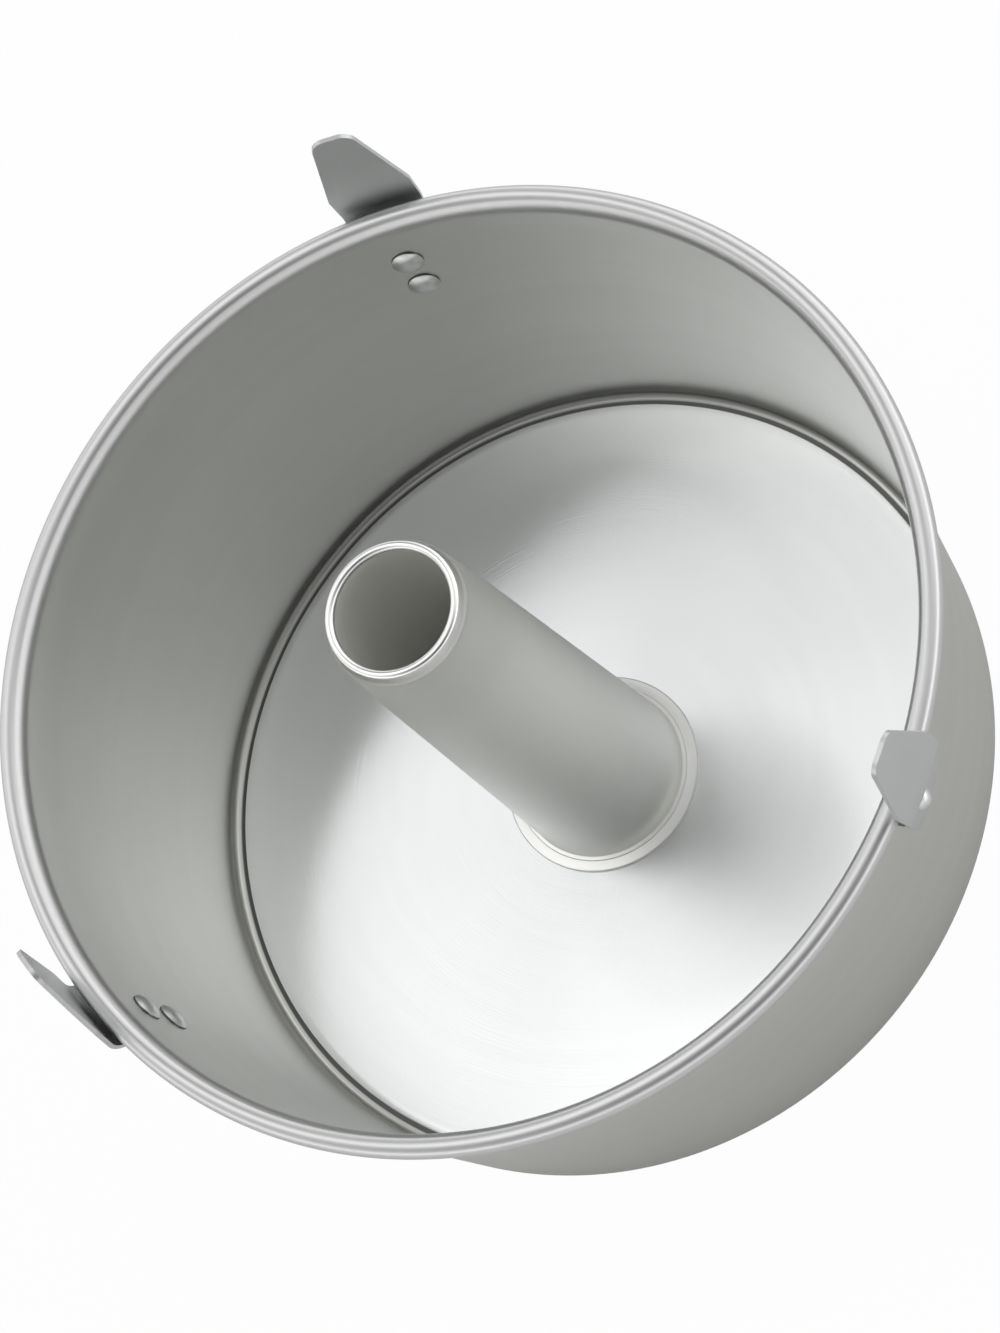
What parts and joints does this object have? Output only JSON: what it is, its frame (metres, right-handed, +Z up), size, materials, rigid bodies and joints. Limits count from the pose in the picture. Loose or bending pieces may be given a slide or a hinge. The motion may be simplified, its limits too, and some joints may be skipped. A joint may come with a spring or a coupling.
{
  "type": "angel food cake pan",
  "caption": "Round tube pan with a tapered wall, rolled rim, riveted cooling legs, and a flat base with a tall tapered tube that lifts out.",
  "frame": {"origin": "centre of the shell's foot ring, on the surface that the pan stands on", "axes": "+Z up along the pan's axis towards the open rim; +Y towards one of the cooling legs, so the legs stand at +Y and about 120 degrees to each side of it"},
  "size_m": [0.266, 0.2726, 0.1508],
  "materials": {
    "shell": "satin, spun",
    "disc": "satin, finely turned",
    "tube": "satin",
    "leg": "satin, stamped",
    "rivet": "satin"
  },
  "bodies": {
    "shell": {"pan_shell": "shell", "cooling_leg_a": "leg", "cooling_leg_b": "leg", "cooling_leg_c": "leg", "rivet_a_lower": "rivet", "rivet_a_upper": "rivet", "rivet_b_lower": "rivet", "rivet_b_upper": "rivet", "rivet_c_lower": "rivet", "rivet_c_upper": "rivet"},
    "insert": {"base_disc": "disc", "centre_tube": "tube"}
  },
  "joints": [
    {"name": "insert_lift", "type": "slide", "parent": "shell", "child": "insert", "axis": [0, 0, 1], "range_m": [0, 0.15]}
  ]
}
